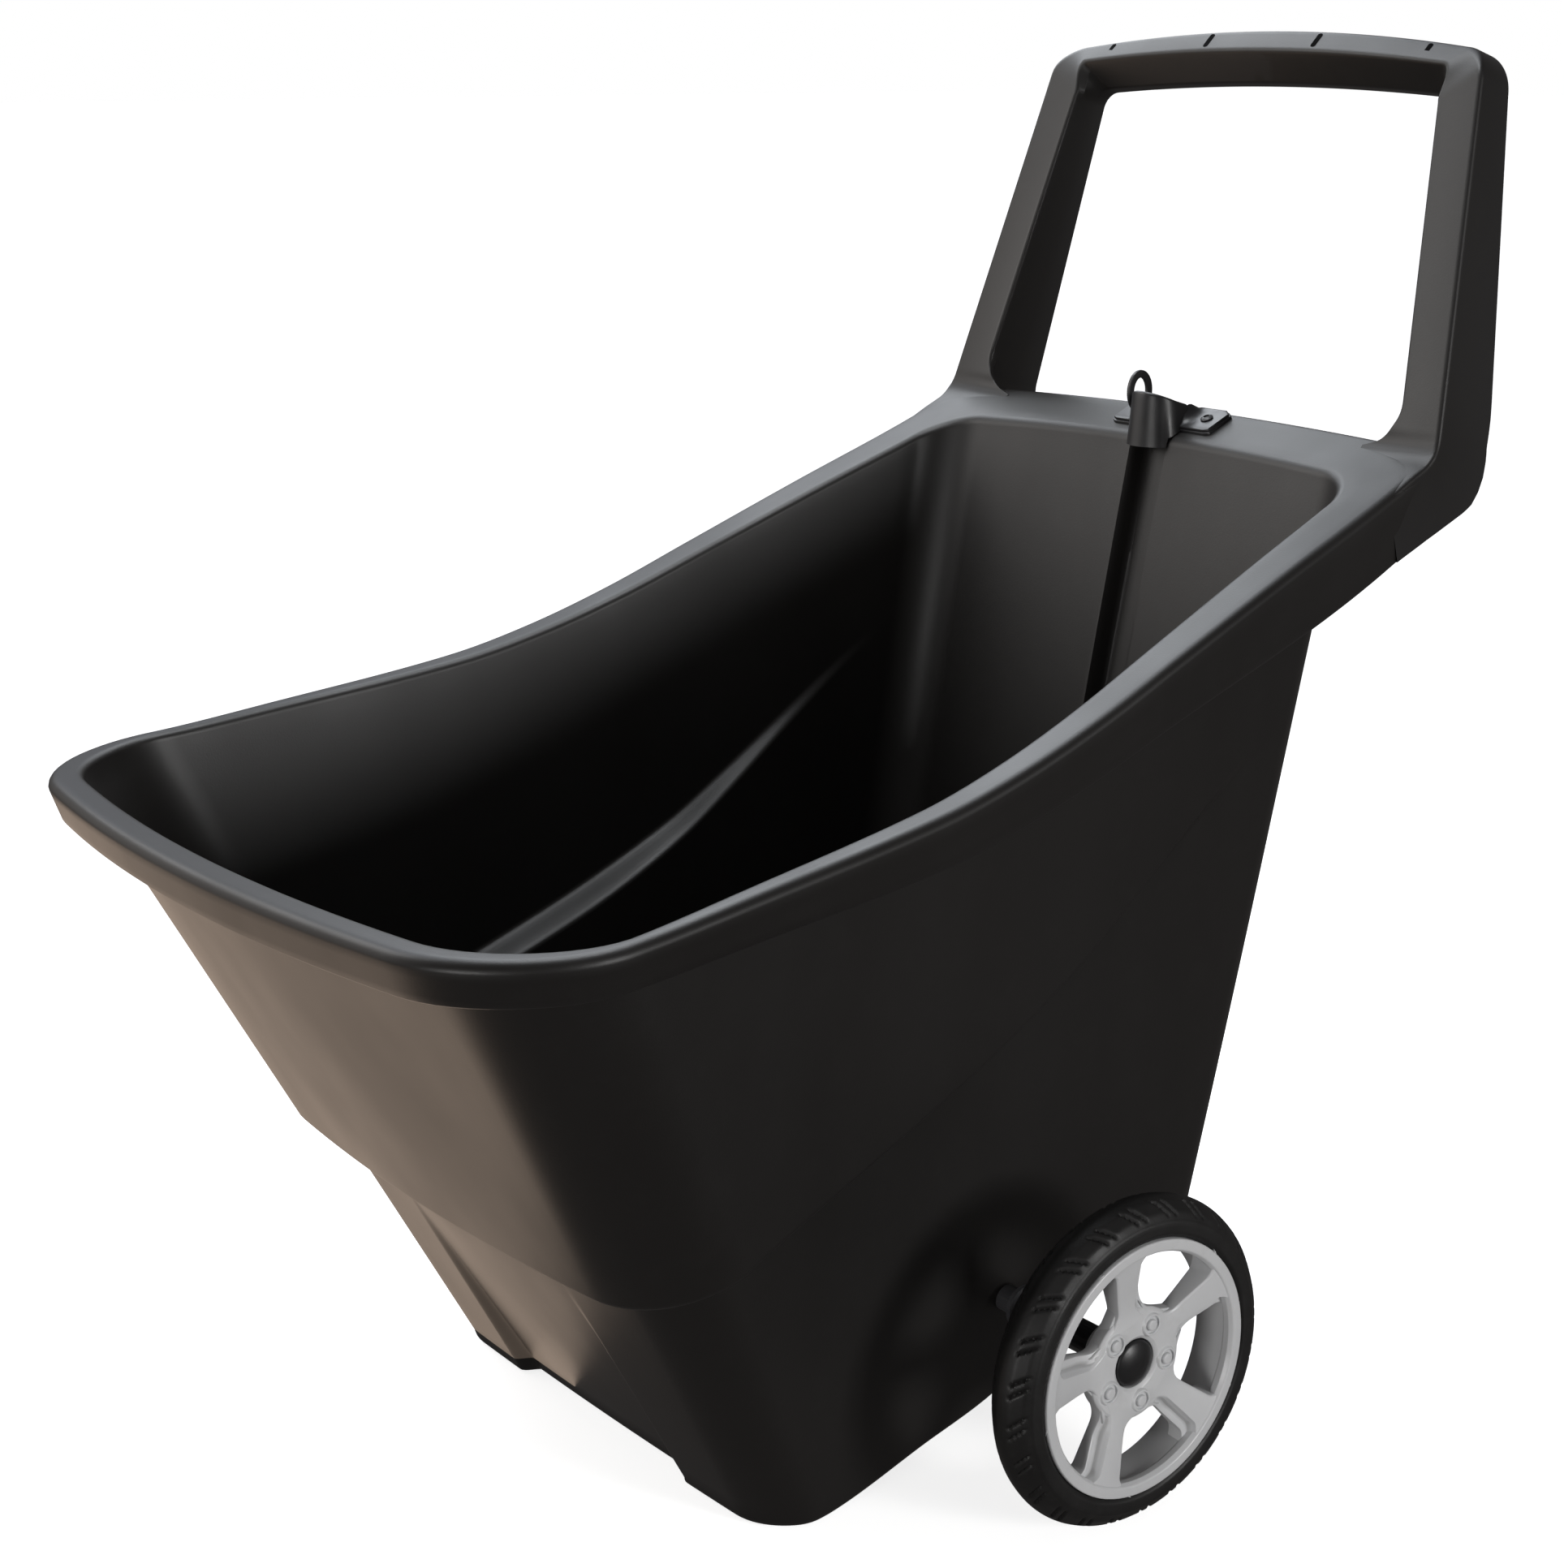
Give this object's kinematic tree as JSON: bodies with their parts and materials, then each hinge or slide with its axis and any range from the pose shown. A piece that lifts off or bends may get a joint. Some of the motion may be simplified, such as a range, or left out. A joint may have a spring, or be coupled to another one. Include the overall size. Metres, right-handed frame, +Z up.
{
  "type": "garden cart",
  "caption": "Two-wheeled moulded garden cart: flared deep tub with turned-down rim, skid feet at the front, pull handle rising from the rear rim and a tool clip.",
  "frame": {"origin": "middle of the cart's footprint box, on the ground", "axes": "+Z up, -Y towards the front lip of the tub, +Y towards the pull handle, X along the wheel axle"},
  "size_m": [0.565, 0.8052, 0.8138],
  "materials": {
    "tub_plastic": "matte charcoal moulded polyethylene with a fine grain",
    "black_plastic": "black satin moulded plastic",
    "wheel_plastic": "light silver grey moulded plastic, soft gloss",
    "tyre_rubber": "black tyre, slightly dusty satin",
    "zinc_steel": "zinc-plated steel",
    "black_wire": "dark coated steel",
    "nylon": "dark nylon"
  },
  "bodies": {
    "tub": {"tub_body": "tub_plastic", "axle_rod": "zinc_steel", "axle_bush_right": "nylon", "axle_bush_left": "nylon", "axle_spacer_right": "black_plastic", "axle_spacer_left": "black_plastic", "inner_washer_right": "zinc_steel", "inner_washer_left": "zinc_steel", "outer_washer_right": "zinc_steel", "outer_washer_left": "zinc_steel", "push_nut_right": "zinc_steel", "push_nut_left": "zinc_steel", "tool_clip": "black_plastic", "clip_screw_right": "black_wire", "clip_screw_left": "black_wire"},
    "wheel_right": {"wheel_rim_right": "wheel_plastic", "tyre_right": "tyre_rubber", "hub_bush_right": "nylon", "hub_cap_right": "black_plastic"},
    "wheel_left": {"wheel_rim_left": "wheel_plastic", "tyre_left": "tyre_rubber", "hub_bush_left": "nylon", "hub_cap_left": "black_plastic"},
    "pull_ring": {"clip_ring": "black_wire"}
  },
  "joints": [
    {"name": "wheel_right_spin", "type": "hinge", "parent": "tub", "child": "wheel_right", "pos_m": [0.2665, 0.02637, 0.097], "axis": [1, 0, 0], "continuous": true},
    {"name": "wheel_left_spin", "type": "hinge", "parent": "tub", "child": "wheel_left", "pos_m": [-0.2665, 0.02637, 0.097], "axis": [1, 0, 0], "continuous": true},
    {"name": "pull_ring_swing", "type": "hinge", "parent": "tub", "child": "pull_ring", "pos_m": [-0.0225, 0.30337, 0.57705], "axis": [1, 0, 0], "range_deg": [-30, 30]}
  ]
}
